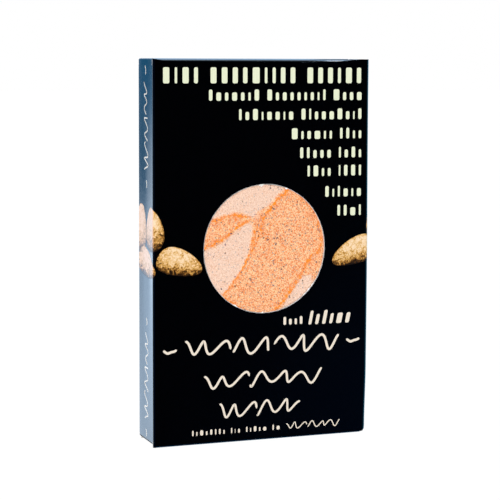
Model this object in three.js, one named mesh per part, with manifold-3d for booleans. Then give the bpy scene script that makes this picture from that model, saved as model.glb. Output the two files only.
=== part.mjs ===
// Ground nutmeg in a windowed folding carton: a slim upright box folded from one sheet of board, shut with
// reverse tuck ends, and the soft pouch of powder that fills it and shows through the round window.
// Millimetres. +Z is up, the front faces -Y, and the origin is under the middle of the base.

import * as THREE from 'three';
import { mergeVertices } from 'three/addons/utils/BufferGeometryUtils.js';
import Module from 'manifold-3d';

// The shut carton, over its outside.
const HEIGHT = 140;
const WIDTH = 83.5;
const DEPTH = 18;

// The board and how it folds.
const BOARD = 0.45;           // thickness of the sheet
const FOLD_RADIUS = 0.8;      // outside of every fold
const LAYER_GAP = 0.15;       // air between two layers of board that lie on each other
const TUCK_LENGTH = 14;       // a tuck flap, from the closure's face to its free edge
const DUST_FLAP_REACH = 18;   // a dust flap, from the side panel's face to its free edge
const EDGE_DROP = 0.05;       // a panel's free edge stops this far short of the closure's face
const FLAP_INSET = 1.0;       // a closure and its tuck flap are this much narrower than the carton at each side

// The free edge of a main panel dips between its corners, so that a thumb finds the tuck flap.
const DIP_DEPTH = 0.75;
const DIP_SLOPE = 5;          // length of the slope at each end of the dip
const DIP_INSET = 1.5;        // the slopes start this far in from the panel's corners

// The round window in the front panel.
const WINDOW_RADIUS = 23.5;
const WINDOW_X = 0.8;         // its centre lies a little to the right of the middle
const WINDOW_Z = 71.1;

// The pouch fills the carton and keeps clear of it all round.
const POUCH_GAP = 0.3;
const POUCH_SQUARENESS = 8;   // exponent of the outline seen from the front: 2 is an ellipse, higher is squarer

const FOLD_STEPS = 3;         // an arc of a fold has twice as many facets
const WINDOW_FACETS = 96;
const POUCH_FACETS_ROUND = 56;
const POUCH_FACETS_DEEP = 20;

const LAYER = BOARD + LAYER_GAP;
const CUT = 1;                // how far a cutting shape runs past what it cuts
const GRID = 1 / 1024;        // every corner is put on this grid, so that faces meant to be level are level

const wasm = await Module();
wasm.setup();

// ---- joining and cutting ----

function toSolid(geometry) {
  const bare = geometry.clone();
  bare.deleteAttribute('normal');
  bare.deleteAttribute('uv');
  const merged = mergeVertices(bare);
  return new wasm.Manifold(new wasm.Mesh({
    numProp: 3,
    vertProperties: merged.attributes.position.array.map((value) => Math.round(value / GRID) * GRID),
    triVerts: new Uint32Array(merged.index.array),
  }));
}

function toGeometry(solid) {
  const mesh = solid.getMesh();
  const geometry = new THREE.BufferGeometry();
  geometry.setAttribute('position', new THREE.BufferAttribute(new Float32Array(mesh.vertProperties), 3));
  geometry.setIndex(new THREE.BufferAttribute(new Uint32Array(mesh.triVerts), 1));
  geometry.computeVertexNormals();
  return geometry;
}

// ---- folded board ----

// The cross-section of a strip of board. Its outside passes through the corners, every turn is a right
// angle to the left, and its inside lies one board thickness to the left of the outside.
function boardSection(corners) {
  const points = corners.map(([u, v]) => new THREE.Vector2(u, v));
  const ways = points.slice(1).map((p, i) => p.clone().sub(points[i]).normalize());
  const left = ways.map((w) => new THREE.Vector2(-w.y, w.x));
  const folds = points.slice(1, -1).map((p, i) => ({
    centre: p.clone().addScaledVector(ways[i], -FOLD_RADIUS).addScaledVector(ways[i + 1], FOLD_RADIUS),
    from: left[i].clone().negate().angle(),
    to: left[i + 1].clone().negate().angle(),
  }));
  const start = points[0];
  const end = points[points.length - 1];
  const innerStart = start.clone().addScaledVector(left[0], BOARD);
  const innerEnd = end.clone().addScaledVector(left[left.length - 1], BOARD);

  const firstFold = points[1].clone().addScaledVector(ways[0], -FOLD_RADIUS);
  const shape = new THREE.Shape();
  shape.moveTo(start.x, start.y);
  shape.lineTo(firstFold.x, firstFold.y);
  for (const { centre, from, to } of folds) {
    shape.absarc(centre.x, centre.y, FOLD_RADIUS, from, to, false);
  }
  shape.lineTo(end.x, end.y);
  shape.lineTo(innerEnd.x, innerEnd.y);
  for (const { centre, from, to } of folds.reverse()) {
    shape.absarc(centre.x, centre.y, FOLD_RADIUS - BOARD, to, from, true);
  }
  shape.lineTo(innerStart.x, innerStart.y);
  shape.closePath();
  return shape;
}

function roundedRectangle(width, depth, radius, path = new THREE.Shape()) {
  const x = width / 2 - radius;
  const y = depth / 2 - radius;
  path.moveTo(x, -y - radius);
  path.absarc(x, -y, radius, -Math.PI / 2, 0, false);
  path.absarc(x, y, radius, 0, Math.PI / 2, false);
  path.absarc(-x, y, radius, Math.PI / 2, Math.PI, false);
  path.absarc(-x, -y, radius, Math.PI, 1.5 * Math.PI, false);
  path.closePath();
  return path;
}

function extrude(shape, depth) {
  return new THREE.ExtrudeGeometry(shape, { depth, bevelEnabled: false, curveSegments: FOLD_STEPS });
}

// A section drawn in (y, z), run along X and centred on it.
function alongX(shape, length) {
  const geometry = extrude(shape, length);
  geometry.translate(0, 0, -length / 2);
  return geometry.applyMatrix4(new THREE.Matrix4().makeBasis(
    new THREE.Vector3(0, 1, 0), new THREE.Vector3(0, 0, 1), new THREE.Vector3(1, 0, 0)));
}

// A section drawn in (x, z), run along Y and centred on it.
function alongY(shape, length) {
  const geometry = extrude(shape, length);
  geometry.translate(0, 0, -length / 2);
  return geometry.rotateX(Math.PI / 2);
}

// ---- the carton ----

// The four upright panels, over the full height.
function sleeve() {
  const ring = roundedRectangle(WIDTH, DEPTH, FOLD_RADIUS);
  ring.holes.push(roundedRectangle(WIDTH - 2 * BOARD, DEPTH - 2 * BOARD, FOLD_RADIUS - BOARD, new THREE.Path()));
  return toSolid(extrude(ring, HEIGHT));
}

// The carton's outline from the side, round where a closure folds from the back's top and the front's foot.
function sideOutline() {
  const y = DEPTH / 2;
  const shape = new THREE.Shape();
  shape.moveTo(y, 0);
  shape.lineTo(y, HEIGHT - FOLD_RADIUS);
  shape.absarc(y - FOLD_RADIUS, HEIGHT - FOLD_RADIUS, FOLD_RADIUS, 0, Math.PI / 2, false);
  shape.lineTo(-y, HEIGHT);
  shape.absarc(-y + FOLD_RADIUS, FOLD_RADIUS, FOLD_RADIUS, Math.PI, 1.5 * Math.PI, false);
  shape.closePath();
  return toSolid(alongX(shape, WIDTH + 2 * CUT));
}

// What is cut from the sleeve's top, so that the side panels end where their dust flaps fold in.
function topOpening() {
  const front = -DEPTH / 2 + LAYER;
  const back = DEPTH / 2 - FOLD_RADIUS;
  const foot = HEIGHT - LAYER - FOLD_RADIUS;
  const box = new THREE.BoxGeometry(WIDTH + 2 * CUT, back - front, HEIGHT + CUT - foot);
  return toSolid(box.translate(0, (front + back) / 2, (HEIGHT + CUT + foot) / 2));
}

// What is cut from the front panel's top edge, with the dip between its corners.
function frontTopEdge() {
  const edge = HEIGHT - EDGE_DROP;
  const end = WIDTH / 2 + CUT;
  const outer = WIDTH / 2 - DIP_INSET;
  const inner = outer - DIP_SLOPE;
  const shape = new THREE.Shape();
  shape.moveTo(-end, edge);
  shape.lineTo(-outer, edge);
  shape.lineTo(-inner, edge - DIP_DEPTH);
  shape.lineTo(inner, edge - DIP_DEPTH);
  shape.lineTo(outer, edge);
  shape.lineTo(end, edge);
  shape.lineTo(end, HEIGHT + CUT);
  shape.lineTo(-end, HEIGHT + CUT);
  shape.closePath();
  const reach = CUT + LAYER;
  return toSolid(alongY(shape, reach).translate(0, -DEPTH / 2 - CUT + reach / 2, 0));
}

// The top closure, folded forward from the back panel, and its tuck flap behind the front panel.
function topClosure() {
  const back = DEPTH / 2;
  const tuck = -DEPTH / 2 + LAYER;
  const foot = HEIGHT - TUCK_LENGTH;
  const section = boardSection([[back, foot], [back, HEIGHT], [tuck, HEIGHT], [tuck, foot]]);
  return toSolid(alongX(section, WIDTH - 2 * FLAP_INSET));
}

// The dust flap folded in from the right side panel, under the top closure.
function dustFlap() {
  const side = WIDTH / 2;
  const top = HEIGHT - LAYER;
  const section = boardSection([[side, HEIGHT - TUCK_LENGTH], [side, top], [side - DUST_FLAP_REACH, top]]);
  return toSolid(alongY(section, DEPTH - 4 * LAYER));
}

// The same shape at the other end of the carton, where the closure folds from the front panel.
function turnedOver(solid) {
  return toSolid(toGeometry(solid).translate(0, 0, -HEIGHT / 2).rotateX(Math.PI).translate(0, 0, HEIGHT / 2));
}

function turnedRound(solid) {
  return toSolid(toGeometry(solid).rotateZ(Math.PI));
}

function windowCutter() {
  const cylinder = new THREE.CylinderGeometry(WINDOW_RADIUS, WINDOW_RADIUS, 2 * CUT, WINDOW_FACETS);
  return toSolid(cylinder.translate(WINDOW_X, -DEPTH / 2, WINDOW_Z));
}

function cartonGeometry() {
  const cut = topOpening().add(frontTopEdge());
  const flaps = topClosure().add(dustFlap()).add(turnedRound(dustFlap()));
  const panels = sleeve().intersect(sideOutline()).subtract(cut).subtract(turnedOver(cut));
  return toGeometry(panels.add(flaps).add(turnedOver(flaps)).subtract(windowCutter()));
}

// ---- the pouch ----

function signedPower(value, power) {
  return Math.sign(value) * Math.abs(value) ** power;
}

// A pillow: a rounded rectangle from the front, thickest in the middle and thin at its rim.
function pouchGeometry() {
  const halfWidth = WIDTH / 2 - BOARD - POUCH_GAP;
  const halfDepth = DEPTH / 2 - BOARD - POUCH_GAP;
  const halfHeight = HEIGHT / 2 - LAYER - BOARD - POUCH_GAP;
  const power = 2 / POUCH_SQUARENESS;
  const ball = new THREE.SphereGeometry(1, POUCH_FACETS_ROUND, POUCH_FACETS_DEEP);
  ball.deleteAttribute('normal');
  ball.deleteAttribute('uv');
  const pillow = mergeVertices(ball);
  const position = pillow.attributes.position;
  const p = new THREE.Vector3();
  for (let i = 0; i < position.count; i += 1) {
    p.fromBufferAttribute(position, i);
    const reach = Math.hypot(p.x, p.z);
    const spread = reach ** power;
    const across = reach > 0 ? signedPower(p.x / reach, power) : 0;
    const up = reach > 0 ? signedPower(p.z / reach, power) : 0;
    position.setXYZ(i, halfWidth * across * spread, halfDepth * p.y, HEIGHT / 2 + halfHeight * up * spread);
  }
  pillow.computeVertexNormals();
  return pillow;
}

// ---- the model ----

function part(name, geometry, color, roughness) {
  const mesh = new THREE.Mesh(geometry, new THREE.MeshStandardMaterial({ color, roughness, metalness: 0 }));
  mesh.name = name;
  return mesh;
}

const nutmegCarton = new THREE.Group();
nutmegCarton.add(part('carton', cartonGeometry(), 0x08080b, 0.4));
nutmegCarton.add(part('nutmeg_pouch', pouchGeometry(), 0xf8c8a0, 0.7));

export default nutmegCarton;
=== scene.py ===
"""Ground nutmeg in a windowed folding carton.

A slim black board carton stands upright, shut with reverse tuck ends. A clear film pouch of ground nutmeg
fills it and shows through the round window in its front. The front faces -Y. Shapes are worked out in
millimetres, and MM turns them into metres as each mesh is made.
"""

import math
from functools import partial

import bmesh
import bpy
import numpy as np
from mathutils import Matrix, Vector


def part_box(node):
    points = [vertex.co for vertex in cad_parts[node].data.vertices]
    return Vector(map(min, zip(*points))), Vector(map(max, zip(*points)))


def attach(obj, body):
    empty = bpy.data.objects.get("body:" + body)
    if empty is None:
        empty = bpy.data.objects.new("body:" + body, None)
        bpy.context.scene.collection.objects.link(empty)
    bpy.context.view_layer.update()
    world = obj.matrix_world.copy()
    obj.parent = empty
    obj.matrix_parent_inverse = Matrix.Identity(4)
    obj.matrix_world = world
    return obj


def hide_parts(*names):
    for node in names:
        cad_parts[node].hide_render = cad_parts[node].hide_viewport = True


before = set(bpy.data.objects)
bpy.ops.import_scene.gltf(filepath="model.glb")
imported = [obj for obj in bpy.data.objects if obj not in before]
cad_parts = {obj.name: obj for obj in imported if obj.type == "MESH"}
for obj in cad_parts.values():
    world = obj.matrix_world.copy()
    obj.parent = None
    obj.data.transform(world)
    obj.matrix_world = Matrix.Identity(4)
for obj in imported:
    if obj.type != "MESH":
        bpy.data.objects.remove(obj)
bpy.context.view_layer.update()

MM = 0.001

# ---- the carton, over its outside ----

HALF_WIDTH, HALF_DEPTH, HEIGHT = np.array(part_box("carton")[1]) / MM

# ---- the board and how it folds ----

BOARD = 0.45  # thickness of the sheet
FOLD = 0.8  # outside radius of every fold
DUST_FOLD = 0.5  # the dust flaps are pressed sharper
FOLD_STEPS = 5
PANEL_COLUMNS = 55
PANEL_ROWS = 93
SIDE_COLUMNS = 7
FOLD_GUARD = 0.3  # a line of points this close to a fold keeps its roundness out of the flat panel
LAYER = 0.6  # the sheet and the air under it, where one layer lies on another
SHOULDER = 2.4  # the folds between the panels stop this far from the ends, where the flaps begin
EDGE_DROP = 0.05  # a free edge or a fold stops this far short of the closure's face
STUB_DROP = 0.15  # the stub of board beside a closure's hinge stops this far short of its face
FOOT_LIFT = 1.1  # the side panels turn in this far above the ground
TUCK_LENGTH = 14
DUST_REACH = 18
DUST_SLIT = 0.2  # the cut between a dust flap and the fold beside it
DUST_DROP = 0.55  # a top dust flap falls this far from its fold, to pass under the closure
CLOSURE_INSET = 0.6  # the top closure is this much narrower at each side than the panel it folds from
BASE_INSET = 1.5  # and the bottom one
CLOSURE_SLOPE = 0.35  # the top closure is tucked in this much lower at its front than at its hinge
CLOSURE_SAG = 0.45  # and lies this much lower at its right end
FLAP_INSET = 0.55  # the glue flap lies this far inside the back panel
FLAP_WIDTH = 12
BACK_OVERHANG = 0.45  # the back panel's glued edge runs on this far past the fold

FLAT_X = HALF_WIDTH - FOLD
FLAT_Y = HALF_DEPTH - FOLD
ARC = math.pi / 2 * FOLD
# how far round the sleeve, from the front's middle, the side panels, the back panel and its middle lie
SIDE_START = FLAT_X + ARC
BACK_START = SIDE_START + 2 * FLAT_Y + ARC
HALF_ROUND = BACK_START + FLAT_X
HEAD = HEIGHT - SHOULDER
MIDDLE = HEIGHT / 2

# ---- how the filled pouch pushes the panels out ----

FRONT_BULGE = 0.35
SIDE_HOLLOW = 0.35  # the folds stay square, so the side panels are drawn in between them
RIGHT_GIVE = 0.4  # the right side panel is pushed out this far, most in its lower half

# ---- the window and the pouch behind it ----

WINDOW_RADIUS = 23.5
WINDOW_X = 0.8
WINDOW_Z = 71.1
WINDOW_RINGS = 17
# the pouch lies a little clear of the board's inside
POUCH_HALF_WIDTH = HALF_WIDTH - 0.75
POUCH_HALF_HEIGHT = HEIGHT / 2 - 1.35
POUCH_HALF_DEPTH = HALF_DEPTH - BOARD - 0.2
WINDOW_SWELL = 0.5  # how far the pouch stands into the window
POUCH_SQUARENESS = 8
FILM_GAP = 0.12  # the film's outside stands this far over the powder that touches it

# ---- print ----

INK_PROUD = 0.02  # an inlay stands this far out of the board
INK_SUNK = 0.06  # and is let in this far

rng = np.random.default_rng(24)


# ======== helpers ========


def srgb(text):
    """A linear colour from sRGB hex digits."""
    values = [int(text[i : i + 2], 16) / 255 for i in (0, 2, 4)]
    return [v / 12.92 if v <= 0.04045 else ((v + 0.055) / 1.055) ** 2.4 for v in values] + [1.0]


def node(tree, kind, links=None, **settings):
    """Adds a node, or takes the one given as kind, and sets it up. A type without "Node" in it is a shader
    node's. links gives each named or numbered input a value, an output or a whole node, which stands for its
    first live output."""
    made = kind
    if isinstance(kind, str):
        made = tree.nodes.new(kind if "Node" in kind else "ShaderNode" + kind)
    for name, value in settings.items():
        setattr(made, name, value)
    for name, value in (links or {}).items():
        if isinstance(value, bpy.types.Node):
            value = next(output for output in value.outputs if output.enabled)
        if isinstance(value, bpy.types.NodeSocket):
            tree.links.new(value, made.inputs[name])
        else:
            made.inputs[name].default_value = value
    return made


def placed(name, data):
    """A new object in the scene."""
    made = bpy.data.objects.new(name, data)
    bpy.context.scene.collection.objects.link(made)
    return made


def smooth(value, start, end):
    """0 before start, 1 after end, and eased between them."""
    t = np.clip((value - start) / (end - start), 0, 1)
    return t * t * (3 - 2 * t)


def along(path):
    """How far along the path each of its points lies."""
    return np.append(0, np.cumsum(np.linalg.norm(np.diff(path, axis=0), axis=1)))


class Shell:
    """Gathers the points and faces of one mesh."""

    def __init__(self):
        self.points = []
        self.faces = []
        self.tones = []

    def patch(self, grid, closed=False):
        """A grid of points, rows by columns; closed joins its last column to its first."""
        rows, columns = grid.shape[:2]
        index = len(self.points) + np.arange(rows * columns).reshape(rows, columns)
        if closed:
            index = np.hstack([index, index[:, :1]])
        self.points.extend(grid.reshape(-1, 3))
        self.quads(index)

    def quads(self, index):
        """The faces between the rows and columns of a grid of point numbers."""
        corners = (index[:-1, :-1], index[1:, :-1], index[1:, 1:], index[:-1, 1:])
        self.faces.extend(np.stack(corners, axis=-1).reshape(-1, 4).tolist())

    def slab(self, flat, tone=0.0):
        """A thin closed inlay over a grid of flat places (around, up), a little proud of the board."""
        rows, columns = flat.shape[:2]
        first = len(self.points)
        top = first + np.arange(rows * columns).reshape(rows, columns)
        for lift in (INK_PROUD, -INK_SUNK):
            self.points.extend(skin(flat[..., 0], flat[..., 1], lift).reshape(-1, 3))
        self.tones.extend(np.tile(np.broadcast_to(tone, (rows, columns)).ravel(), 2))
        foot = top + rows * columns
        self.quads(top)
        self.quads(foot[:, ::-1])
        rim = np.concatenate([top[0, :-1], top[:-1, -1], top[-1, :0:-1], top[:0:-1, 0]])
        rim = np.append(rim, rim[0])
        self.quads(np.stack([rim, rim + rows * columns]))

    def piece(self, name, materials, weld=0.0, sharp=35.0):
        """The mesh as an object, welded, its faces pointing out and its edges sharp where they turn hard."""
        mesh = bpy.data.meshes.new(name)
        mesh.from_pydata((np.array(self.points) * MM).tolist(), [], self.faces)
        if self.tones:
            paint(mesh, "tone", np.array(self.tones))
        for material in materials:
            mesh.materials.append(material)
        shape = bmesh.new()
        shape.from_mesh(mesh)
        if weld:
            bmesh.ops.remove_doubles(shape, verts=shape.verts, dist=weld * MM)
        bmesh.ops.recalc_face_normals(shape, faces=shape.faces)
        shape.to_mesh(mesh)
        shape.free()
        mesh.shade_smooth()
        mesh.set_sharp_from_angle(angle=math.radians(sharp))
        return placed(name, mesh)


def paint(mesh, name, values):
    """Stores one number for each point of the mesh."""
    layer = mesh.attributes.get(name) or mesh.attributes.new(name, "FLOAT", "POINT")
    layer.data.foreach_set("value", np.asarray(values, dtype=np.float32))


def places(mesh):
    """The mesh's points, in millimetres."""
    flat = np.empty(len(mesh.vertices) * 3)
    mesh.vertices.foreach_get("co", flat)
    return flat.reshape(-1, 3) / MM


def finished(piece):
    """The piece with its modifiers worked into a plain mesh."""
    graph = bpy.context.evaluated_depsgraph_get()
    mesh = bpy.data.meshes.new_from_object(piece.evaluated_get(graph))
    piece.modifiers.clear()
    piece.data = mesh
    return piece


def belongs(piece, slot, *nodes):
    """The piece rides on the carton's body and stands for the nodes, whose parts it hides. slot is not used.
    """
    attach(piece, "root")
    if nodes:
        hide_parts(*nodes)
    return piece


# ======== the sleeve's skin ========


def swollen(share, up):
    """How much of its bulge a panel has here: share is the place across it, -1 to 1 from fold to fold."""
    upright = np.clip(1 - ((up - MIDDLE) / (MIDDLE - SHOULDER)) ** 2, 0, 1)
    unevenness = 1 + 0.12 * np.sin(5.6 * share + 1.3) * np.sin(up / 12.3)
    return (1 - share**2) * upright * unevenness


def right_give(up):
    """How far the right side panel is pushed out at this height."""
    full_from, full_to = 26, 45
    return RIGHT_GIVE * smooth(up, SHOULDER, full_from) * (1 - smooth(up, full_to, HEAD))


def skin(around, up, lift=0.0):
    """Points on the sleeve: around is the distance to the right from the front's middle, lift how far out."""
    around, up = np.broadcast_arrays(np.asarray(around, float), np.asarray(up, float))
    around = np.where(abs(around) > HALF_ROUND, around - 2 * HALF_ROUND * np.sign(around), around)
    stops = np.cumsum([0, FLAT_X, ARC, 2 * FLAT_Y, ARC, FLAT_X])
    far = abs(around)
    side = np.where(around < 0, -1, 1)
    turn = np.radians(np.interp(far, stops, [-90, -90, 0, 0, 90, 90]))
    core_x = side * np.interp(far, stops, [0, FLAT_X, FLAT_X, FLAT_X, FLAT_X, 0])
    core_y = np.interp(far, stops, [-FLAT_Y, -FLAT_Y, -FLAT_Y, FLAT_Y, FLAT_Y, FLAT_Y])
    bulge = FRONT_BULGE * swollen(core_x / FLAT_X, up) - SIDE_HOLLOW * swollen(core_y / FLAT_Y, up)
    out = FOLD + lift + bulge
    x = core_x + side * out * np.cos(turn) + right_give(up) * smooth(core_x, 0.6 * FLAT_X, FLAT_X)
    return np.stack([x, core_y + out * np.sin(turn), up], axis=-1)


def back_skin(x, up):
    """Points on the back panel, which runs on flat past the right fold to its glued edge."""
    on_flat = np.clip(x, -FLAT_X, FLAT_X)
    points = skin(np.where(on_flat < 0, -1, 1) * (HALF_ROUND - abs(on_flat)), up)
    points[..., 0] += x - on_flat
    return points


def folded(corners, radius=FOLD):
    """Points along a strip of board through these corners in its own plane, rounded at every turn."""
    corners = [np.array(corner, float) for corner in corners]
    path = [corners[0]]
    for before, corner, after in zip(corners, corners[1:], corners[2:]):
        way_in = (corner - before) / np.linalg.norm(corner - before)
        way_out = (after - corner) / np.linalg.norm(after - corner)
        centre = corner + (way_out - way_in) * radius
        steps = np.linspace(0, math.pi / 2, FOLD_STEPS)
        arc = [centre + radius * (way_in * math.sin(a) - way_out * math.cos(a)) for a in steps]
        guard = [arc[-1] + way_out * FOLD_GUARD]
        path += ([arc[0] - way_in * FOLD_GUARD] if len(path) > 1 else []) + arc + guard
    return np.array(path + [corners[-1]])


# ======== the carton's sheet ========


def columns_across():
    """Places across the front or back panel, from fold to fold."""
    inset = 1.6
    inner = np.linspace(-FLAT_X + inset, FLAT_X - inset, PANEL_COLUMNS)
    return np.concatenate([[-FLAT_X, -FLAT_X + FOLD_GUARD], inner, [FLAT_X - FOLD_GUARD, FLAT_X]])


def rows_up():
    """Heights up the panels, between the flaps at their ends."""
    return np.linspace(SHOULDER, HEAD, PANEL_ROWS)


def fold_columns(start):
    """Places round the fold that begins here."""
    return start + np.linspace(0, ARC, FOLD_STEPS)


def side_columns(end):
    """Places across a side panel, from its front fold to its end at the back, with its dust flaps' ends."""
    inset = 1.5
    inner = np.linspace(-FLAT_Y + inset, FLAT_Y - inset, SIDE_COLUMNS)
    return np.concatenate([[-FLAT_Y, -FLAT_Y + DUST_SLIT], inner, [end - DUST_SLIT, end]])


def front_panel():
    """The front from fold to fold: rings that change from the round window to the panel's outline."""
    across, up = columns_across(), rows_up()
    outline = np.concatenate([
        np.stack([across[:-1], np.full(len(across) - 1, SHOULDER)], axis=1),
        np.stack([np.full(len(up) - 1, FLAT_X), up[:-1]], axis=1),
        np.stack([across[:0:-1], np.full(len(across) - 1, HEAD)], axis=1),
        np.stack([np.full(len(up) - 1, -FLAT_X), up[:0:-1]], axis=1),
    ])
    centre = np.array([WINDOW_X, WINDOW_Z])
    away = outline - centre
    hole = centre + WINDOW_RADIUS * away / np.linalg.norm(away, axis=1, keepdims=True)
    # the rings lie closer together at the window, and one more lies close to the folds
    share = np.sort(np.append(np.linspace(0, 1, WINDOW_RINGS) ** 1.4, 0.985))[:, None, None]
    flat = hole * (1 - share) + outline * share
    return skin(flat[..., 0], flat[..., 1])


def front_edge(x):
    """The height of the front panel's free top edge, which dips between its corners for a thumb."""
    dip = np.interp(x, [-41.7, -37.1, 16, 30, 37.6], [0, 0.8, 1.08, 0.72, 0])
    return HEIGHT - EDGE_DROP - dip


def back_edge(x):
    """The height of the back panel's free bottom edge, with the same dip."""
    return EDGE_DROP + np.interp(abs(x), [35.2, 40.2], [0.75, 0])


def wall_end(place, columns, start, ends):
    """The last short stretch of an upright panel, from the height start to the height or heights in ends."""
    rise = np.linspace(0, 1, 3)[:, None]
    return place(columns, start + (ends - start) * rise)


def closure(across, inset, slope, sag):
    """A closure and its tuck flap, folded forward from the back panel's top. It narrows by inset past the
    fold, and its front and its right end lie lower by slope and sag."""
    tuck = -HALF_DEPTH + LAYER
    corners = [(HALF_DEPTH, HEAD), (HALF_DEPTH, HEIGHT), (tuck, HEIGHT), (tuck, HEIGHT - TUCK_LENGTH)]
    path = folded(corners)
    bend = [(FLAT_Y - step, HEIGHT) for step in (1.0, 2.0)]
    path = np.concatenate([path[:FOLD_STEPS + 2], bend, path[FOLD_STEPS + 2:]])
    share = smooth(np.arange(len(path)), FOLD_STEPS, FOLD_STEPS + 3)[:, None]
    x = across * (1 - share * inset / FLAT_X)
    y = np.broadcast_to(path[:, :1], x.shape)
    forward = np.clip((FLAT_Y - y) / (2 * FLAT_Y), 0, 1)
    z = path[:, 1:] - share * (slope * forward + sag * smooth(x, 18, 34))
    return np.stack([x, y, z], axis=-1)


def dust_flap(side, columns, top, drop):
    """A dust flap, folded in from a side panel's top, that falls by drop to pass under the closure."""
    path = folded([(HALF_WIDTH, HEAD), (HALF_WIDTH, top), (HALF_WIDTH - DUST_REACH, top)], DUST_FOLD)
    bend = [(FLAT_X - step, top) for step in (0.6, 1.6)]
    path = np.concatenate([path[:-1], bend, path[-1:]])
    x, y = np.broadcast_arrays(side * path[:, :1], columns)
    z = path[:, 1:] - drop * smooth(FLAT_X - path[:, :1], -0.1, 0.6)
    return np.stack([x, y, np.broadcast_to(z, x.shape)], axis=-1)


def glue_flap(edge, up):
    """The flap that goes on from the right side panel, inside the back panel that is glued to it."""
    start = skin(SIDE_START + FLAT_Y + edge, up)
    turn = np.linspace(0, math.pi / 2, FOLD_STEPS)
    x = np.append(FLAT_X + FOLD * np.cos(turn), FLAT_X - FLAP_WIDTH)
    y = np.append(edge + FOLD * np.sin(turn), edge + FOLD)
    x, y, rise = np.broadcast_arrays(x + right_give(up)[:, None], y, up[:, None])
    grid = np.stack([x, y, rise], axis=-1)
    grid[:, 0] = start
    return grid


def turned_over(grid):
    """The same shape at the other end of the carton, where the closure folds from the front panel."""
    return grid * [1, -1, -1] + [0, 0, HEIGHT]


def knocked(points):
    """The lower right corner is knocked round at its front."""
    radius = 2.4
    centre = np.array([HALF_WIDTH - radius, radius])
    out = points[:, [0, 2]] - centre
    beyond = (out[:, 0] > 0) & (out[:, 1] < 0)
    reach = np.hypot(out[:, 0], out[:, 1])
    pull = np.where(beyond, np.clip(radius / np.maximum(reach, 1e-6), 0, 1), 1)
    share = smooth(-points[:, 1], 2, HALF_DEPTH)[:, None]
    moved = points.copy()
    moved[:, [0, 2]] = centre + out * (1 + (pull[:, None] - 1) * share)
    return moved


def carton_sheet():
    """The carton's printed side, as one sheet folded from one blank."""
    shell = Shell()
    across, up = columns_across(), rows_up()
    front_left, front_right = -fold_columns(FLAT_X)[::-1], fold_columns(FLAT_X)
    back_left = -fold_columns(BACK_START - ARC)
    glued = FLAT_Y - FLAP_INSET
    left, right = side_columns(FLAT_Y), side_columns(glued)
    back = np.append(across, FLAT_X + BACK_OVERHANG)
    height = up[:, None]

    shell.patch(front_panel(), closed=True)
    side_middle = SIDE_START + FLAT_Y
    for columns in (front_left, front_right, back_left, -side_middle - left, side_middle + right):
        shell.patch(skin(columns, height))
    shell.patch(back_skin(back, height))
    shell.patch(glue_flap(glued, up))

    top_front = np.concatenate([front_left[:-1], across, front_right[1:]])
    for end in (
        (skin, top_front, HEAD, front_edge(top_front)),
        (skin, back_left, HEAD, HEIGHT - STUB_DROP),
        (back_skin, back[-2:], HEAD, HEIGHT - FOLD),
        (skin, front_left, SHOULDER, STUB_DROP),
        (skin, front_right, SHOULDER, STUB_DROP),
        (skin, back_left, SHOULDER, FOOT_LIFT),
        (back_skin, back, SHOULDER, back_edge(back)),
    ):
        shell.patch(wall_end(*end))

    shell.patch(closure(across, CLOSURE_INSET, CLOSURE_SLOPE, CLOSURE_SAG))
    shell.patch(turned_over(closure(across, BASE_INSET, 0, 0)))
    for side, columns in ((-1, left[1:-1]), (1, right[1:-1])):
        shell.patch(dust_flap(side, columns, HEIGHT - EDGE_DROP, DUST_DROP))
        shell.patch(turned_over(dust_flap(side, -columns, HEIGHT - FOOT_LIFT, 0)))
    shell.points = list(knocked(np.array(shell.points)))
    return shell


def carton_board():
    """The sheet given its thickness: laminate outside, bare board inside, white core at every cut edge."""
    board = carton_sheet().piece("carton_board", [black_laminate(), bare_board(), cut_board()], weld=0.01)
    # the sheet isn't closed, so its foremost face tells whether all of them point in
    waist = [face for face in board.data.polygons if abs(face.center.z / MM - MIDDLE) < 10]
    foremost = min(waist, key=lambda face: face.center.y)
    if foremost.normal.y > 0:
        board.data.flip_normals()
    thick = board.modifiers.new("thickness", "SOLIDIFY")
    thick.thickness = BOARD * MM
    thick.offset = -1
    thick.use_even_offset = True
    thick.material_offset = 1
    thick.material_offset_rim = 2
    board = finished(board)
    board.data.set_sharp_from_angle(angle=math.radians(35))
    x, y, _ = abs(places(board.data)).T
    on_side = (x > FLAT_X + 0.3 * FOLD) & (y < FLAT_Y + 0.05)
    # a band on the side panels beside each fold, for rubbing and for a painted sheen
    paint(board.data, "fold_wear_and_sheen", on_side * (1 - smooth(FLAT_Y - y, 0.5, 5.0)))
    return belongs(board, "black_board", "carton")


# Burrs of torn board round the window: the angle, half width and height of each.
BURRS = ((1.64, 0.028, 0.7), (1.21, 0.016, 0.5), (4.2, 0.03, 0.3), (4.68, 0.016, 0.4),
         (5.45, 0.02, 0.35), (5.55, 0.02, 0.4), (5.64, 0.015, 0.35))


def window_edge():
    """The window's die-cut edge: white core, bared by the laminate's edge and burred here and there."""
    turns = 480
    angle = np.arange(turns) / turns * math.tau
    bared = 0.14 + 0.05 * np.sin(7 * angle + 1) * np.sin(3 * angle) + 0.03 * rng.standard_normal(turns)
    burr = 0.03 + 0.03 * rng.random(turns)
    for centre, width, size in BURRS:
        burr += size * np.exp(-(((angle - centre) / width) ** 2))
    # how far out from the window and how far out of the board each line round the edge runs
    section = [
        (bared, 0.012), (-burr, -0.03), (-0.3 * burr, -BOARD - 0.02), (0.4, -BOARD + 0.05), (0.4, -0.2),
    ]
    loops = []
    for out, lift in section:
        radius = WINDOW_RADIUS + np.broadcast_to(out, turns)
        loops.append(skin(WINDOW_X + radius * np.cos(angle), WINDOW_Z + radius * np.sin(angle), lift))
    shell = Shell()
    shell.patch(np.array(loops + loops[:1]), closed=True)
    return belongs(shell.piece("window_cut_edge", [cut_board()], weld=0.001), "white_core")


# ======== print ========


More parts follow.
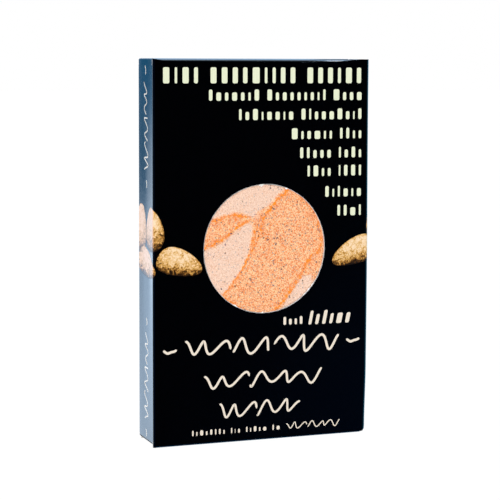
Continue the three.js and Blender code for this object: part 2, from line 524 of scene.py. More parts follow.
def block(shell, left, right, foot, top, lean=0.0):
    """A rounded upright block."""
    corner = min(0.55, 0.45 * (right - left), 0.45 * (top - foot))
    turn = np.linspace(0, math.pi / 2, 4)
    rise = np.concatenate([foot + corner * (1 - np.cos(turn)), top - corner * (1 - np.cos(turn[::-1]))])
    inset = np.concatenate([corner * (1 - np.sin(turn)), corner * (1 - np.sin(turn[::-1]))])
    slant = lean * (rise - foot)
    pair = [np.stack([left + inset + slant, rise], axis=1), np.stack([right - inset + slant, rise], axis=1)]
    shell.slab(np.stack(pair, axis=1))


def block_word(shell, left, right, foot, height, pitch, low=0.74, lean=0.0, gap=0.26):
    """A run of blocks, one for each letter that the space would hold; low is how tall the lesser ones are."""
    count = max(2, round((right - left) / pitch))
    widths = rng.uniform(0.75, 1.25, count)
    ends = left + (right - left) * np.append(0, np.cumsum(widths) / widths.sum())
    for i in range(count):
        tall = i == 0 or rng.random() < 0.3
        left, right = ends[i] + gap * pitch, ends[i + 1] - gap * pitch
        block(shell, left, right, foot, foot + height * (1 if tall else low), lean)


def block_line(shell, right, foot, height, pitch, widths, space, **setting):
    """Words of these widths, set from a right-hand margin leftwards."""
    for width in widths:
        block_word(shell, right - width, right, foot, height, pitch, **setting)
        right -= width + space


def stroke(shell, path, width):
    """A pen line with round ends."""
    travel = along(path)
    ends = np.clip(np.minimum(travel, travel[-1] - travel) / (width / 2), 0.02, 1)
    half = width / 2 * np.sqrt(1 - (1 - ends) ** 2)
    way = np.gradient(path, axis=0)
    way /= np.linalg.norm(way, axis=1, keepdims=True)
    across = np.stack([-way[:, 1], way[:, 0]], axis=1) * half[:, None]
    shell.slab(np.stack([path - across, path + across], axis=1))


def wave(start, end, swings, lean=0.0):
    """A line that swings to each of these heights in turn, evenly spaced from start to end."""
    swings = np.array(swings, float)
    t = np.linspace(0, len(swings) - 1, 10 * len(swings))
    k = np.minimum(t.astype(int), len(swings) - 2)
    ease = (1 - np.cos(math.pi * (t - k))) / 2
    height = swings[k] * (1 - ease) + swings[k + 1] * ease
    return np.stack([start + (end - start) * t / t[-1] + lean * height, height], axis=1)


def pen_line(shell, start, end, foot, height, pitch, width, upright=False):
    """An uneven wavy pen line along a row, or up a side panel, with the pen lifted now and then."""
    count = 2 * max(2, round((end - start) / pitch)) + 1
    swings = height / 2 * rng.uniform(0.5, 1.0, count)
    swings[1::2] *= -1
    path = wave(start, end, swings, lean=0.25)
    path[:, 0] += 0.12 * pitch * np.sin(np.linspace(0, count, len(path)) * 1.7)
    path[:, 1] += foot + height / 2
    if upright:
        path = np.stack([2 * foot + height - path[:, 1], path[:, 0]], axis=1)
    share = np.linspace(0, 1, len(path))
    lifts = np.arange(1, count // 5) * 5 / count + rng.uniform(-0.02, 0.02, max(count // 5 - 1, 0))
    marks = np.concatenate([[-1], lifts, [2]])
    gap = 0.012
    for low, high in zip(marks, marks[1:]):
        stroke(shell, path[(share > low + gap) & (share < high - gap)], width)


def dash(shell, start, end, middle, width):
    """A short dash with a wave in it."""
    reach = 0.45
    path = wave(start, end, [reach, -reach, 0, reach])
    path[:, 1] += middle
    stroke(shell, path, width)


def front_headings(shell):
    """The headline and the short lines under it, set to the right round the window."""
    margin = 39.5
    block_line(shell, margin, 131.2, 5.7, 3.85, (23.4, 34.6, 15.0), 2.75, low=1.0)
    rows = [
        (125.0, (12.7, 24.3, 20.6)), (118.0, (25.4, 22.5)), (110.9, (10.0, 17.4)), (103.9, (10.4, 13.7)),
        (97.2, (10.4, 10.7)), (89.5, (15.7,)), (82.4, (10.8,)),
    ]
    for foot, widths in rows:
        block_line(shell, margin, foot, 4.0, 2.85, widths, 1.75)


def front_handwriting(shell):
    """What stands under the window: two leaning words, then three pen-written rows and a small last one."""
    block_word(shell, 7.7, 16.4, 42.6, 3.0, 2.2)
    block_word(shell, 17.4, 35.1, 42.2, 5.2, 2.9, lean=0.2)
    dash(shell, -38.1, -32.9, 34.9, 0.9)
    pen_line(shell, -30.6, 30.4, 32.2, 6.4, 7.7, 0.9)
    dash(shell, 33.4, 38.7, 35.4, 0.9)
    pen_line(shell, -23.1, 23.3, 20.2, 5.8, 7.7, 0.85)
    pen_line(shell, -17.2, 15.0, 9.2, 5.8, 6.7, 0.8)
    block_line(shell, 7.7, 3.4, 2.0, 1.68, (3.9, 9.0, 4.5, 13.6), 1.42, gap=0.31)
    pen_line(shell, 9.5, 31.1, 3.2, 2.6, 3.45, 0.38)


def side_handwriting(shell, side):
    """Two pen-written lines up the middle of a side panel, with short dashes round them."""
    middle = side * (SIDE_START + FLAT_Y)
    for start, end in ((99.5, 131.0), (8.5, 40.5)):
        pen_line(shell, start, end, middle - 2.25, 4.5, 4.6, 0.55, upright=True)
    t = np.linspace(0, 4, 9)
    for start, end in ((134.2, 137.4), (93.6, 96.4), (43.6, 46.4), (2.6, 5.4)):
        path = np.stack([middle + 0.5 * np.sin(t), start + (end - start) * t / 4], axis=1)
        stroke(shell, path, 0.6)


def back_text(shell):
    """The back: a heading, paragraphs of small print and a pen-written line."""
    margin = HALF_ROUND + 33
    block_line(shell, margin, 122.0, 4.6, 3.4, (22.0, 30.0), 2.6, low=1.0)
    for foot in np.concatenate([np.arange(110, 82, -4.0), np.arange(70, 38, -4.0)]):
        widths = rng.uniform(5, 13, 5)
        block_line(shell, margin, foot, 1.9, 1.5, widths * 60 / (widths.sum() + 1), 1.3)
    pen_line(shell, HALF_ROUND - 24, HALF_ROUND + 24, 18.0, 5.6, 7.2, 0.85)


def cream_print():
    """All that is printed or written in cream."""
    shell = Shell()
    front_headings(shell)
    front_handwriting(shell)
    for side in (-1, 1):
        side_handwriting(shell, side)
    back_text(shell)
    return belongs(shell.piece("cream_print", [cream_ink()]), "cream_print")


def nut_outline(half_length, dome, belly, tilt):
    """The lower and upper edges, left to right, of a nutmeg with its tip to the right, turned by tilt."""
    t = np.radians(np.arange(0, 360, 1.5))
    taper = 1 - 0.2 * np.cos(t)
    x = half_length * np.cos(t) - 0.12 * half_length * np.sin(t).clip(0) ** 2
    rise = np.where(np.sin(t) > 0, dome * np.sin(t), -belly * abs(np.sin(t)) ** 0.75) * taper
    c, s = math.cos(math.radians(tilt)), math.sin(math.radians(tilt))
    outline = np.stack([c * x - s * rise, s * x + c * rise], axis=1)
    outline = np.roll(outline, -outline[:, 0].argmax(), axis=0)
    left = outline[:, 0].argmin()
    upper = outline[: left + 1][::-1]
    lower = np.concatenate([outline[left:], outline[:1]])
    return lower, upper


def nut(shell, around, up, half_length, dome, belly, tilt, mirrored=False):
    """A whole nutmeg, which may wrap round a fold, shaded as a round thing lit from above."""
    lower, upper = nut_outline(half_length, dome, belly, tilt)
    if mirrored:
        lower, upper = (edge[::-1] * [-1, 1] for edge in (lower, upper))
    first, last = upper[0, 0], upper[-1, 0]
    middle, reach = (first + last) / 2, (last - first) / 2
    lines = around + middle + reach * np.sin(np.linspace(-math.pi / 2, math.pi / 2, 41))
    # lines run up the places where a fold bends, and none runs close beside one
    starts = (FLAT_X, BACK_START - ARC)
    folds = np.concatenate([side * fold_columns(start) for side in (-1, 1) for start in starts])
    keep = np.min(abs(lines[:, None] - folds), axis=1) > 0.08
    across = folds[(folds > lines[0] + 0.05) & (folds < lines[-1] - 0.05)]
    lines = np.sort(np.concatenate([lines[keep], across]))
    x = lines - around
    foot = np.interp(x, *lower.T)[:, None]
    top = np.maximum(np.interp(x, *upper.T)[:, None], foot + 0.02)
    share = np.linspace(-1, 1, 17)
    height = (foot + top) / 2 + (top - foot) / 2 * share
    side = ((x - middle) / reach)[:, None]
    rim = np.sqrt(np.clip(1 - side**2, 0, 1))
    facing = np.sqrt(np.clip(1 - side**2 - (share * rim) ** 2, 0, 1))
    flat = np.stack([np.broadcast_to(lines[:, None], height.shape), up + height], axis=-1)
    shell.slab(flat, tone=0.6 * share * rim + 0.8 * facing)


def nut_print():
    """Whole nutmegs printed round both front folds, lying and standing."""
    shell = Shell()
    # the place of each round the sleeve and up it, its half length, dome, belly and tilt
    left = ((-44.1, 79.0, 8.0, 6.9, 6.2, 95), (-32.0, 66.0, 8.75, 6.3, 3.6, -12),
            (-50.1, 65.3, 9.4, 6.2, 4.0, -12), (-56.8, 78.7, 9.0, 5.3, 6.0, 86))
    right = ((37.0, 67.9, 9.75, 6.4, 3.6, -16), (47.5, 80.0, 8.2, 6.0, 6.2, 96),
             (54.2, 66.8, 7.0, 5.4, 3.6, -10))
    for nuts, mirrored in ((left, False), (right, True)):
        for sizes in nuts:
            nut(shell, *sizes, mirrored)
    return belongs(shell.piece("nut_print", [nut_ink()]), "nut_print")


# ======== the pouch ========

# Creases in the film over the powder, each with its width and strength: smooth lines through places to the
# right of and above the window's centre.
CREASES = (
    # the long one from upper right to lower left, faint in its middle
    ([(9.3, 22), (1.6, 14.6), (0.3, 13.2), (-0.5, 10.8)], 0.42, 0.9),
    ([(-0.5, 10.8), (-3, 2.5), (-6.4, -3)], 0.5, 0.65),
    ([(-6.4, -3), (-10.3, -9.6), (-16.6, -16.6)], 0.34, 0.85),
    # a short one at its left
    ([(-1.3, 12.4), (-4.5, 3.6), (-4.7, -0.2)], 0.7, 0.6),
    # round a tongue of powder that reaches in from the left
    ([(-22.3, 10.6), (-17.4, 11.1), (-13.6, 12.6), (-5.4, 10.9), (-11.5, 7.5), (-13.4, 5.9), (-23.9, 0.5)],
     0.3, 0.9),
    # down the right, broad and faint above and sharp below
    ([(20.8, 8.6), (22, 0.2), (21.3, -2), (18.8, -3.2)], 0.7, 0.65),
    ([(18.8, -3.2), (17.1, -5.6), (12.7, -12.9)], 0.9, 0.65),
    ([(12.7, -12.9), (4, -23.2)], 0.4, 0.9),
)

# Hollows where the powder lies clear of the film: the smooth edge of each, then the corners that close it
# round the window's rim.
HOLLOWS = (
    ([(-20.6, 11.6), (-7.9, 13.5), (-4.5, 12.2), (-2.6, 13.6), (-0.4, 14.8), (7.7, 21.9)],
     [(12.1, 30), (-30.4, 30), (-30.4, 11)]),
    ([(-23.7, -0.2), (-19.4, 1.3), (-8.3, 8.1), (-5.3, 9.2), (-5, 7.5), (-9.5, -7.4), (-17.4, -17.2)],
     [(-30.4, -30), (-30.4, -1.6)]),
    ([(18.6, -10.3), (17, -10.2), (10.6, -17), (5.9, -23.6)],
     [(14.2, -34), (34.4, -20), (21.7, -13.2), (19.1, -12.2)]),
)


def flowing(points, steps=4):
    """A smooth line through these points."""
    points = np.array(points, float)
    travel = along(points)
    slope = np.gradient(points, travel, axis=0)
    t = np.linspace(0, 1, steps, endpoint=False)[:, None]
    ease = t * t * (3 - 2 * t)
    leave, arrive = t * (1 - t) ** 2, t * t * (t - 1)
    line = []
    for i, reach in enumerate(np.diff(travel)):
        bend = reach * (leave * slope[i] + arrive * slope[i + 1])
        line.extend(points[i] + ease * (points[i + 1] - points[i]) + bend)
    return np.array(line + [points[-1]])


def to_line(points, line):
    """Distance from each point to a broken line."""
    nearest = np.full(len(points), np.inf)
    for start, end in zip(line[:-1], line[1:]):
        way = end - start
        share = np.clip((points - start) @ way / (way @ way), 0, 1)[:, None]
        nearest = np.minimum(nearest, np.linalg.norm(points - start - share * way, axis=1))
    return nearest


def inside(points, outline):
    """True for each point within the outline."""
    within = np.zeros(len(points), bool)
    x, y = points.T
    for (x0, y0), (x1, y1) in zip(outline, np.roll(outline, -1, axis=0)):
        crosses = (y0 > y) != (y1 > y)
        within ^= crosses & (x < (x1 - x0) * (y - y0) / (y1 - y0 + 1e-12) + x0)
    return within


def wander(points, size, seed):
    """A smooth uneven value, mostly from -1 to 1, with humps of about this size."""
    draw = np.random.default_rng(seed)
    total = np.zeros(len(points))
    for _ in range(7):
        way = draw.normal(size=2) / size * 2.2
        total += np.sin(points @ way + draw.uniform(0, math.tau))
    return total / 4


def window_marks(x, z):
    """How the powder lies against the film round the window: touch, from 0 in a hollow to 1, and crease."""
    flat = np.stack([x - WINDOW_X, z - WINDOW_Z], axis=1)
    shifted = flat + 0.35 * np.stack([wander(flat, 2.0, 1), wander(flat, 2.0, 2)], axis=1)
    shifted += 0.3 * np.stack([wander(flat, 0.7, 3), wander(flat, 0.7, 4)], axis=1)
    hollow = np.zeros(len(flat))
    for edge, corners in HOLLOWS:
        outline = np.vstack([flowing(edge), corners])
        away = to_line(shifted, np.vstack([outline, outline[:1]]))
        signed = np.where(inside(shifted, outline), away, -away)
        hollow = np.maximum(hollow, smooth(signed, -0.6, 0.6))
    crease = np.zeros(len(flat))
    for line, width, strength in CREASES:
        away = to_line(shifted, flowing(line))
        spread = np.maximum(width * (1 + 0.4 * wander(flat, 2.4, 5)), 0.25)
        depth = strength * (0.9 + 0.25 * wander(flat, 1.3, 6))
        halo = 0.5 * (1 - hollow) * np.exp(-away / 1.8)
        crease = np.maximum(crease, depth * np.maximum(np.exp(-((away / spread) ** 2)), halo))
    # the window's edge pinches the film at its upper right and lower left
    from_rim = WINDOW_RADIUS - np.hypot(*flat.T)
    heading = np.degrees(np.arctan2(flat[:, 1], flat[:, 0]))
    pinched = np.exp(-((heading - 40) / 28) ** 2) + np.exp(-((heading + 122) / 20) ** 2)
    crease = np.maximum(crease, 0.6 * pinched * np.exp(-from_rim.clip(0) / 1.3))
    # powder thins out between the tongue and the long crease
    haze = np.exp(-(((flat[:, 0] + 3.4) / 2.6) ** 2 + ((flat[:, 1] - 12.2) / 1.4) ** 2))
    return np.clip(1 - hollow - 0.45 * haze, 0, 1), crease


def fine_lines(half, centre, reach, fine, coarse):
    """Shares from -1 to 1 of a half size, fine within reach of a centre; coarse is how many lie beyond."""
    middle = np.arange(centre - reach, centre + reach + fine / 2, fine)
    low = np.linspace(-half, middle[0], coarse, endpoint=False)
    high = np.linspace(half, middle[-1], coarse, endpoint=False)[::-1]
    return np.concatenate([low, middle, high]) / half


def pillow(shell, fine, grow, relief):
    """A pillow with a rounded square outline, swollen as the carton is. Its points lie fine apart behind the
    window, grow is how far it stands out of the powder, and relief adds to its front."""
    half_x, half_z = POUCH_HALF_WIDTH + grow, POUCH_HALF_HEIGHT + grow
    reach = WINDOW_RADIUS + 1.6
    u = fine_lines(half_x, WINDOW_X, reach, fine, 12)[None, :]
    v = fine_lines(half_z, WINDOW_Z - MIDDLE, reach, fine, 30)[:, None]
    power = POUCH_SQUARENESS
    x = half_x * u * (1 - v**power / 2) ** (1 / power)
    z = half_z * v * (1 - u**power / 2) ** (1 / power)
    thick = np.sqrt(np.clip(1 - abs(x / half_x) ** power - abs(z / half_z) ** power, 0, 1))
    z = z + MIDDLE
    depth = POUCH_HALF_DEPTH + grow + FRONT_BULGE * swollen(np.clip(x / FLAT_X, -1, 1), z)
    within = smooth(WINDOW_RADIUS - np.hypot(x - WINDOW_X, z - WINDOW_Z), -0.25, 0.35)
    front = depth + WINDOW_SWELL * within + relief(x.ravel(), z.ravel()).reshape(x.shape)
    shell.patch(np.stack([x, -front * thick, z], axis=-1))
    shell.patch(np.stack([x, depth * thick, z], axis=-1)[::-1])


def powder():
    """The ground nutmeg: grain in relief, hollows where it lies clear of the film, ridges under creases."""
    def relief(x, z):
        touch, crease = window_marks(x, z)
        grain = 0.035 * rng.standard_normal(len(x)) + 0.02 * wander(np.stack([x, z], axis=1), 1.0, 8)
        return grain - 0.22 * (1 - touch) + 0.08 * crease * touch
    shell = Shell()
    pillow(shell, fine=0.3, grow=0.0, relief=relief)
    body = shell.piece("ground_nutmeg", [nutmeg_powder()], weld=0.001, sharp=180)
    x, y, z = places(body.data).T
    touch, crease = window_marks(x, z)
    behind = (np.hypot(x - WINDOW_X, z - WINDOW_Z) < WINDOW_RADIUS + 0.6) & (y < 0)
    paint(body.data, "touch", touch)
    paint(body.data, "crease", crease)
    paint(body.data, "strewn", behind * (0.2 + 0.8 * touch) * np.clip(1 - crease, 0, 1))
    return belongs(body, "ground_nutmeg", "nutmeg_pouch")


def pouch_film():
    """The clear film round the powder, with soft ridges at its creases."""
    def ridges(x, z):
        crease = window_marks(x, z)[1]
        return 0.08 * crease + 0.03 * wander(np.stack([x, z], axis=1), 5.0, 9)
    shell = Shell()
    pillow(shell, fine=0.6, grow=FILM_GAP, relief=ridges)
    film = shell.piece("pouch_film", [clear_film()], weld=0.001, sharp=180)
    return belongs(film, "pouch_film", "nutmeg_pouch")


def scatter(name, host, finish, radius, flatness, density, seed):
    """Small uneven grains strewn over the powder behind the window, each turned its own way: density is how
    many lie on a square millimetre where it presses on the film, and fewer lie where it doesn't."""
    tree = bpy.data.node_groups.new(name + "_scatter", "GeometryNodeTree")
    add = partial(node, tree)
    tree.interface.new_socket("Surface", in_out="INPUT", socket_type="NodeSocketGeometry")
    values = {"Grain radius": radius * MM, "Density": density / MM**2, "Flatness": flatness, "Seed": seed}
    sockets = {}
    for label in values:
        kind = "NodeSocketInt" if label == "Seed" else "NodeSocketFloat"
        sockets[label] = tree.interface.new_socket(label, in_out="INPUT", socket_type=kind).identifier
    tree.interface.new_socket("Grains", in_out="OUTPUT", socket_type="NodeSocketGeometry")
    given = add("NodeGroupInput").outputs
    chance = add("GeometryNodeInputNamedAttribute", {"Name": "strewn"}, data_type="FLOAT")
    crowd = add("Math", {0: given["Density"], 1: chance}, operation="MULTIPLY")
    where = {"Mesh": given["Surface"], "Density": crowd, "Seed": given["Seed"]}
    spread = add("GeometryNodeDistributePointsOnFaces", where)
    grain = add("GeometryNodeMeshIcoSphere", {"Radius": given["Grain radius"], "Subdivisions": 1})
    sizes = {0: (0.5, 0.5, 0.5), 1: (1.5, 1.5, 1.5), "Seed": given["Seed"]}
    size = add("FunctionNodeRandomValue", sizes, data_type="FLOAT_VECTOR")
    flat = add("CombineXYZ", {"X": 1.0, "Y": 1.0, "Z": given["Flatness"]})
    scale = add("VectorMath", {0: size, 1: flat}, operation="MULTIPLY")
    turns = {0: (0, 0, 0), 1: (math.tau, math.tau, math.tau), "Seed": given["Seed"]}
    turn = add("FunctionNodeRandomValue", turns, data_type="FLOAT_VECTOR")
    strew = {"Points": spread, "Instance": grain, "Rotation": turn, "Scale": scale}
    strewn = add("GeometryNodeInstanceOnPoints", strew)
    tone = add("FunctionNodeRandomValue", {"Seed": given["Seed"]}, data_type="FLOAT")
    shade = {"Geometry": strewn, "Name": "tone", "Value": tone}
    toned = add("GeometryNodeStoreNamedAttribute", shade, data_type="FLOAT", domain="INSTANCE")
    real = add("GeometryNodeRealizeInstances", {"Geometry": toned})
    coated = add("GeometryNodeSetMaterial", {"Geometry": real, "Material": finish})
    add("NodeGroupOutput", {0: coated})

    made = placed(name, host.data.copy())
    modifier = made.modifiers.new("strew", "NODES")
    modifier.node_group = tree
    for label, value in values.items():
        modifier[sockets[label]] = value
    return belongs(finished(made), "ground_nutmeg")


# ======== materials ========


def material(name):
    """A new material, what adds nodes to it, its shader and the place on the object that patterns follow."""
    made = bpy.data.materials.new(name)
    made.use_nodes = True
    add = partial(node, made.node_tree)
    place = add("TexCoord").outputs["Object"]
    return made, add, made.node_tree.nodes["Principled BSDF"], place


def per_mm(size):
    """The Noise Texture scale, in metres, whose humps are about this many millimetres wide."""
    return 1 / (size * MM)


def black_laminate():
    """Board printed solid black under satin film: as black as print goes, and the film's skin over the fibres
    softens and mottles what it mirrors. Beside the folds the side panels are mixed a very little toward
    blue grey: partly rubbing, partly a painted sheen."""
    made, add, shader, place = material("black_satin_laminate")
    fibres = add("TexNoise", {"Vector": place, "Scale": per_mm(1.4), "Detail": 3.0})
    bump = add("Bump", {"Height": fibres, "Strength": 0.22, "Distance": 0.05 * MM})
    wear_and_sheen = add("Attribute", attribute_name="fold_wear_and_sheen").outputs["Fac"]
    specks = add("TexNoise", {"Vector": place, "Scale": per_mm(0.9), "Detail": 2.0})
    rub = add("MapRange", {0: specks, 1: 0.35, 2: 0.65, 3: 0.5})
    share = add("Math", {0: wear_and_sheen, 1: rub}, operation="MULTIPLY")
    # painted sheen and rubbing: the band beside the folds is mixed toward a blue grey
    colour = add("Mix", {0: share, 6: srgb("010102"), 7: srgb("363a3e")}, data_type="RGBA")
    rough = add("MapRange", {0: fibres, 1: 0.3, 2: 0.7, 3: 0.13, 4: 0.18})
    add(shader, {"Base Color": colour, "Roughness": rough, "Normal": bump})
    return made


def raw_board(name, grain, detail, span, dark, light, roughness):
    """Unprinted matt board: grain is how wide its clumps of fibre are, span the part of their noise used."""
    made, add, shader, place = material(name)
    fibres = add("TexNoise", {"Vector": place, "Scale": per_mm(grain), "Detail": detail})
    tint = add("MapRange", {0: fibres, 1: span[0], 2: span[1]})
    colour = add("Mix", {0: tint, 6: srgb(dark), 7: srgb(light)}, data_type="RGBA")
    add(shader, {"Base Color": colour, "Roughness": roughness})
    return made


def bare_board():
    """The uncoated reverse of the board: matt, faintly grey and fibrous."""
    return raw_board("bare_white_board", 0.8, 5.0, (0.0, 1.0), "cfc9bf", "e6e1d8", 0.9)


def cut_board():
    """The board's cut edge: pressed white pulp, matt, with the odd darker fibre."""
    return raw_board("cut_board_core", 0.5, 3.0, (0.3, 0.5), "cfc4ba", "fbf8f4", 0.85)


def facing_front(add, place):
    """1 on the front and back panels, 0 on the sides, with the change in the middle of each fold."""
    deep = add("SeparateXYZ", {0: place}).outputs["Y"]
    size = add("Math", {0: deep}, operation="ABSOLUTE")
    fold_middle = (FLAT_Y + 0.7 * FOLD) * MM
    return add("Math", {0: size, 1: fold_middle}, operation="GREATER_THAN")


def cream_ink():
    """Cream ink under the same satin film as the black, a shade warmer below the window and on the sides."""
    made, add, shader, place = material("cream_ink_under_laminate")
    up = add("SeparateXYZ", {0: place}).outputs["Z"]
    height = add("MapRange", {0: up, 1: 46 * MM, 2: 80 * MM})
    green = add("Math", {0: height, 1: facing_front(add, place)}, operation="MULTIPLY")
    grain = add("TexNoise", {"Vector": place, "Scale": per_mm(0.5), "Detail": 2.0})
    base = add("Mix", {0: green, 6: srgb("e8d8c4"), 7: srgb("e4e5c4")}, data_type="RGBA")
    patchy = add("MapRange", {0: grain, 3: 0.94, 4: 1.06})
    colour = add("VectorMath", {0: base, 1: patchy}, operation="MULTIPLY")
    add(shader, {"Base Color": colour, "Roughness": 0.3})
    return made


def nut_ink():
    """Nutmegs in full colour under the film: cream where light falls on them, tan on their flanks and dark
    brown underneath, with the brown wrinkles of the dried seed. On the side panels their lit parts are mixed
    toward pale pink, a painted sheen of the laminate."""
    made, add, shader, place = material("nutmeg_brown_ink_under_laminate")
    tone = add("Attribute", attribute_name="tone").outputs["Fac"]
    wrinkles = add("TexNoise", {
        "Vector": place, "Scale": per_mm(1.2), "Detail": 6.0, "Roughness": 0.85, "Distortion": 0.8})
    depth = add("MapRange", {0: wrinkles, 1: 0.34, 2: 0.66, 3: -0.75, 4: 0.75})
    lit = add("Math", {0: tone, 1: depth}, operation="ADD")
    level = add("MapRange", {0: lit, 1: -0.3, 2: 1.25})
    shade = add("ValToRGB", {0: level})
    stops = ((0.1, "1c0e03"), (0.27, "62390e"), (0.42, "b87c2c"), (0.6, "e2ac58"), (0.9, "f8d8b2"))
    elements = shade.color_ramp.elements
    while len(elements) < len(stops):
        elements.new(0.5)
    for element, (position, colour) in zip(elements, stops):
        element.position = position
        element.color = srgb(colour)
    # painted sheen: on the side panels the nutmegs are mixed toward pale pink, most where they are lit
    sheen_amount = add("Math", {0: level, 1: 0.75}, operation="MULTIPLY")
    sheen_painted = add("Mix", {0: sheen_amount, 6: shade, 7: srgb("ffcdb0")}, data_type="RGBA")
    front = facing_front(add, place)
    colour = add("Mix", {0: front, 6: sheen_painted, 7: shade}, data_type="RGBA")
    add(shader, {"Base Color": colour, "Roughness": 0.3})
    return made


def nutmeg_powder():
    """Ground nutmeg: pale and dusty where it lies clear of the film, with specks half hidden in the dust;
    orange tan where it presses on the film, and deep orange where its oil has run along the creases."""
    made, add, shader, place = material("ground_nutmeg_powder")
    touch = add("Attribute", attribute_name="touch").outputs["Fac"]
    crease = add("Attribute", attribute_name="crease").outputs["Fac"]
    coarse = add("TexNoise", {"Vector": place, "Scale": per_mm(3.0), "Detail": 2.0})
    drift = add("MapRange", {0: coarse, 1: 0.3, 2: 0.7, 3: -0.14, 4: 0.14})
    pressed = add("Math", {0: touch, 1: drift}, operation="ADD", use_clamp=True)
    fine = add("TexNoise", {"Vector": place, "Scale": per_mm(0.45), "Detail": 3.0, "Roughness": 0.9})
    speckle = add("MapRange", {0: fine, 1: 0.46, 2: 0.54, 3: 0.5, 4: -0.5})
    grain = add("Math", {0: speckle, 1: 0.5}, operation="ADD", use_clamp=True)
    dusty = add("Mix", {0: grain, 6: srgb("f9d8c1"), 7: srgb("e3b498")}, data_type="RGBA")
    tan = add("Mix", {0: grain, 6: srgb("ffd3a0"), 7: srgb("ea7420")}, data_type="RGBA")
    body = add("Mix", {0: pressed, 6: dusty, 7: tan}, data_type="RGBA")
    # the oil spreads in clumps with ragged edges
    clumps = add("TexNoise", {"Vector": place, "Scale": per_mm(0.9), "Detail": 1.0})
    broken = add("MapRange", {0: clumps, 1: 0.42, 2: 0.58, 3: 1.5, 4: 0.42})
    ragged = add("Math", {0: speckle, 1: -1.2, 2: broken}, operation="MULTIPLY_ADD")
    oily = add("Math", {0: ragged, 1: crease}, operation="MULTIPLY")
    mask = add("MapRange", {0: oily, 1: 0.25, 2: 0.75})
    oiled = add("Mix", {0: mask, 6: body, 7: srgb("f98c04")}, data_type="RGBA")
    # each half hidden speck is a dot of its own size
    spots = add("TexVoronoi", {"Vector": place, "Scale": per_mm(0.8)})
    picked = add("SeparateXYZ", {0: spots.outputs["Color"]})
    size = add("MapRange", {0: picked, 1: 0.2, 2: 1.0, 4: 0.36})
    buried = add("Math", {0: spots, 1: size}, operation="LESS_THAN")
    faint = add("Math", {0: buried, 1: 0.6}, operation="MULTIPLY")
    colour = add("Mix", {0: faint, 6: oiled, 7: srgb("948890")}, data_type="RGBA")
    add(shader, {"Base Color": colour, "Roughness": 0.9, "Specular IOR Level": 0.2})
    return made


def grains(name, dark, light):
    """Loose grains of uneven colour between two, matt as the powder is."""
    made, add, shader, _ = material(name)
    tone = add("Attribute", attribute_name="tone").outputs["Fac"]
    colour = add("Mix", {0: tone, 6: srgb(dark), 7: srgb(light)}, data_type="RGBA")
    add(shader, {"Base Color": colour, "Roughness": 0.9, "Specular IOR Level": 0.2})
    return made


def clear_film():
    """Clear polypropylene film: nearly unseen, with a soft gloss along its ridges."""
    made, add, shader, place = material("clear_polypropylene_film")
    ripples = add("TexNoise", {"Vector": place, "Scale": per_mm(6.0), "Detail": 2.0})
    bump = add("Bump", {"Height": ripples, "Strength": 0.2, "Distance": 0.2 * MM})
    add(shader, {"Base Color": srgb("f4f0ec"), "Roughness": 0.15, "Alpha": 0.03, "Normal": bump})
    return made


# ======== stage ========

# Soft cards round the carton: the azimuth and elevation of each and half its width and height, in degrees,
# how soft its edge is, and its light.
CARDS = (
    # mirrored in the left side panel: in its lower part, higher up, and faintly all over
    (-20, -10.8, 28, 5.4, 0.3, (1.34, 1.57, 1.84)),
    (6, -4.6, 20, 3.7, 0.8, (1.05, 1.03, 0.98)),
    (-26, 3, 34, 17, 0.7, (0.055, 0.34, 0.7)),
    # in the left front fold, two where it nears the side panel and one where it nears the front
    (-50, -17, 16, 6, 0.6, (2.4, 2.8, 3.2)),
    (-50, -3, 16, 5, 0.6, (1.6, 1.9, 2.3)),
    (-140, -6, 24, 30, 0.7, (0.0, 0.06, 0.2)),
    # in the back and the right side
    (28, 20, 34, 24, 0.6, (0.45, 0.7, 1.0)),
    (62, -4, 26, 30, 0.8, (0.3, 0.6, 0.9)),
    (107, -14, 28, 30, 0.6, (0.15, 1.1, 1.8)),
    # in the top and the base
    (0, 78, 30, 18, 0.5, (3.5, 4.9, 6.5)),
    (0, -88, 35, 35, 0.5, (0.05, 0.5, 1.2)),
    # in the front, a faint blue low on its right
    (148, -15, 10, 8, 0.9, (0.0, 0.03, 0.11)),
)


def toward(azimuth, elevation):
    """The direction at this angle to the right of +Y and above the horizon, in degrees."""
    a, e = math.radians(azimuth), math.radians(elevation)
    return Vector((math.sin(a) * math.cos(e), math.cos(a) * math.cos(e), math.sin(e)))


def camera():
    """A long lens level with the carton's top and to the left of its front."""
    place = Vector((-218.386, -578.579, 140.696)) * MM
    azimuth, elevation, roll = 20.546, -6.552, math.radians(0.274)
    forward, level = toward(azimuth, elevation), toward(azimuth + 90, 0)
    above = level.cross(forward)
    right = level * math.cos(roll) + above * math.sin(roll)
    top = above * math.cos(roll) - level * math.sin(roll)
    lens = bpy.data.cameras.new("camera")
    lens.lens, lens.sensor_width = 121.147, 36
    lens.clip_start, lens.clip_end = 0.01, 100
    made = placed("camera", lens)
    made.matrix_world = Matrix.Translation(place) @ Matrix((right, top, -forward)).transposed().to_4x4()
    bpy.context.scene.camera = made


def soft_card(add, way, azimuth, elevation, half_width, half_height, softness):
    """How much of a soft-edged oval card the direction way meets, from 0 to 1."""
    centre, across = toward(azimuth, elevation), toward(azimuth + 90, 0)
    parts = []
    for axis, half in ((across, half_width), (across.cross(centre), half_height)):
        scaled = axis / math.sin(math.radians(half))
        share = add("VectorMath", {0: way, 1: scaled}, operation="DOT_PRODUCT")
        parts.append(add("Math", {0: share, 1: share}, operation="MULTIPLY"))
    reach = add("Math", {0: parts[0], 1: parts[1]}, operation="ADD")
    edges = {0: reach, 1: 1 + softness, 2: 1 - softness}
    within = add("MapRange", edges, interpolation_type="SMOOTHSTEP")
    ahead = add("VectorMath", {0: way, 1: centre}, operation="DOT_PRODUCT")
    facing = add("Math", {0: ahead, 1: 0.0}, operation="GREATER_THAN")
    return add("Math", {0: within, 1: facing}, operation="MULTIPLY")


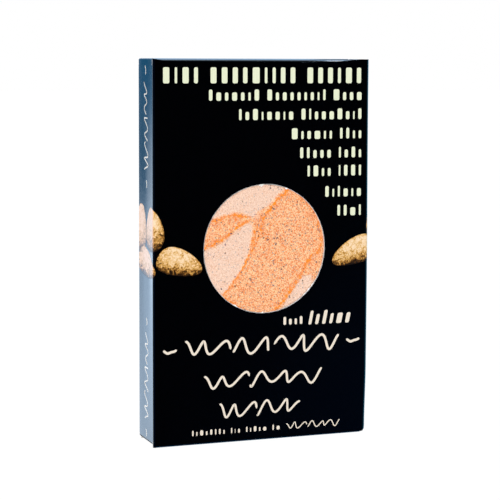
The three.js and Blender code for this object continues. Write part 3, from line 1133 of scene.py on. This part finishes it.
def studio():
    """White to the eye; to the board it is a dark room with soft cards round it."""
    world = bpy.data.worlds.new("studio")
    bpy.context.scene.world = world
    world.use_nodes = True
    world.cycles.sampling_method = "NONE"
    world.node_tree.nodes.clear()
    add = partial(node, world.node_tree)
    way = add("TexCoord").outputs["Generated"]
    height = add("SeparateXYZ", {0: way}).outputs["Z"]
    fade = {0: height, 1: 0.35, 2: 0.8, 3: 0.002, 4: 0.5}
    overhead = add("MapRange", fade, interpolation_type="SMOOTHSTEP")
    light = add("VectorMath", {0: (0.7, 0.95, 1.2), 1: overhead}, operation="MULTIPLY")
    for *shape, colour in CARDS:
        share = soft_card(add, way, *shape)
        lit = add("VectorMath", {0: colour, 1: share}, operation="MULTIPLY")
        light = add("VectorMath", {0: light, 1: lit}, operation="ADD")
    room = add("Background", {"Color": light})
    white = add("Background", {"Color": (1, 1, 1, 1)})
    seen = add("LightPath").outputs["Is Camera Ray"]
    mixed = add("MixShader", {0: seen, 1: room, 2: white})
    add("OutputWorld", {"Surface": mixed})


def lamp(name, azimuth, elevation, strength, spread):
    """A broad far lamp that shines from this direction and isn't mirrored."""
    light = bpy.data.lights.new(name, "SUN")
    light.energy = strength
    light.angle = math.radians(spread)
    made = placed(name, light)
    made.rotation_euler = toward(azimuth, elevation).to_track_quat("Z", "Y").to_euler()
    made.visible_glossy = False


def floor():
    """A plain white table top that glows as a light table does, so that nothing throws a shadow on it."""
    made, add, shader, _ = material("white_table")
    add(shader, {"Base Color": srgb("202020"), "Roughness": 0.9, "Specular IOR Level": 0.0,
                 "Emission Color": (1, 1, 1, 1), "Emission Strength": 1.0})
    half_width = 6000
    line = np.linspace(-half_width, half_width, 3)
    x, y = np.meshgrid(line, line)
    shell = Shell()
    shell.patch(np.stack([x, y, np.zeros_like(x)], axis=-1))
    table = shell.piece("table", [made])
    if table.data.polygons[0].normal.z < 0:
        table.data.flip_normals()
    table.visible_glossy = False


camera()
bpy.context.scene.view_settings.view_transform = "Standard"
studio()
lamp("key", azimuth=-150, elevation=32, strength=2.4, spread=40)
floor()

carton_board()
window_edge()
cream_print()
nut_print()
nutmeg = powder()
loose = grains("loose_nutmeg_grains", "c06a38", "ffe2bc")
scatter("loose_grains", nutmeg, loose, radius=0.15, flatness=0.7, density=2.6, seed=3)
husk = grains("dark_husk_specks", "3a2628", "96747a")
scatter("husk_specks", nutmeg, husk, radius=0.3, flatness=0.55, density=0.13, seed=5)
pouch_film()
